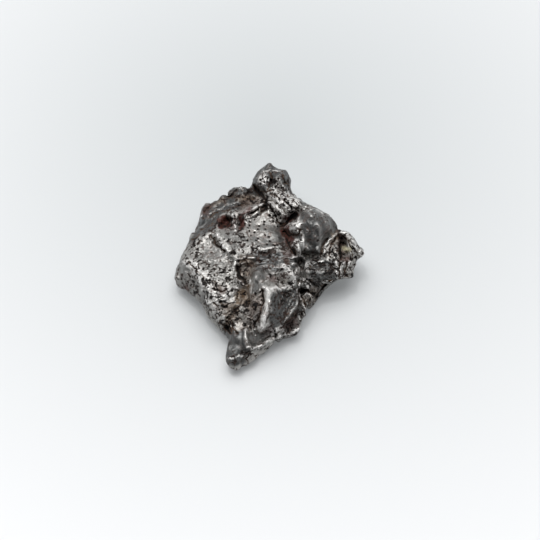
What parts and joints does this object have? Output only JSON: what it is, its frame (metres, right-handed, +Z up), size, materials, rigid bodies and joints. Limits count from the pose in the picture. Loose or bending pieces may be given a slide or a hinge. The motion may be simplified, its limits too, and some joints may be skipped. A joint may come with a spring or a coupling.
{
  "type": "iron meteorite",
  "caption": "Small lumpy iron meteorite with a hollowed show face, sharp ridges, a knob, an arm and a horn, resting on its underside.",
  "frame": {"origin": "centre of the bounding box in X and Y, on the ground plane that the feet rest on", "axes": "+Z up, +Y from the horn towards the knob along the longest extent, +X towards the arm; the show face looks up and towards -Y"},
  "size_m": [0.0344, 0.0416, 0.0132],
  "materials": {
    "nickel_iron": "bare cleaned metal, satin, with dark pits and brown-red rust left in the hollows"
  },
  "bodies": {
    "root": {"meteorite": "nickel_iron"}
  },
  "joints": []
}
